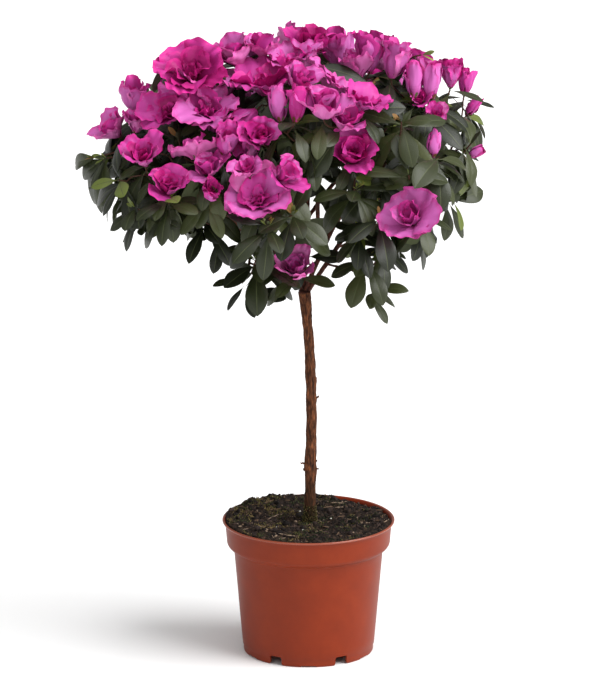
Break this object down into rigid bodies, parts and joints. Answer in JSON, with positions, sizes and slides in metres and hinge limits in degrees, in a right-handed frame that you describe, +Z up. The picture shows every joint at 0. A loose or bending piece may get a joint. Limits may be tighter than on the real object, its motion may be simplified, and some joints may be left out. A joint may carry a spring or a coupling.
{
  "type": "potted flowering shrub",
  "caption": "Flowering azalea trained as a small standard, with a bare woody stem under a broad domed crown of leaves and double blooms, in a round nursery pot of peat.",
  "frame": {"origin": "centre of the pot's flat underside, at the level of its feet", "axes": "+Z up along the stem, +X to the right and -Y towards the front"},
  "size_m": [0.3549, 0.3336, 0.5547],
  "materials": {
    "pot": "satin terracotta-coloured plastic",
    "soil": "moist dark peat with moss",
    "bark": "fissured brown bark",
    "foliage": "leathery leaves and thin petals"
  },
  "bodies": {
    "root": {"bough_back": "bark", "bough_back_left": "bark", "bough_back_middle": "bark", "bough_back_right": "bark", "bough_front": "bark", "bough_front_left": "bark", "bough_front_right": "bark", "bough_left": "bark", "bough_right": "bark", "bough_right_upper": "bark", "bough_spray_back_left": "bark", "bough_spray_back_right": "bark", "bough_spray_front_left": "bark", "bough_spray_middle": "bark", "bough_spray_right": "bark", "bough_top": "bark", "bough_upper_back_left": "bark", "bough_upper_front": "bark", "bough_upper_front_left": "bark", "foliage_back": "foliage", "foliage_back_left": "foliage", "foliage_back_right": "foliage", "foliage_front": "foliage", "foliage_front_left": "foliage", "foliage_front_right": "foliage", "foliage_left": "foliage", "foliage_right": "foliage", "foliage_top": "foliage", "foliage_upper_back": "foliage", "foliage_upper_back_left": "foliage", "foliage_upper_front": "foliage", "foliage_upper_front_left": "foliage", "foliage_upper_right": "foliage", "pot": "pot", "soil": "soil", "spray_back_left": "foliage", "spray_back_right": "foliage", "spray_front_left": "foliage", "spray_middle": "foliage", "spray_right": "foliage", "stem": "bark"}
  },
  "joints": []
}
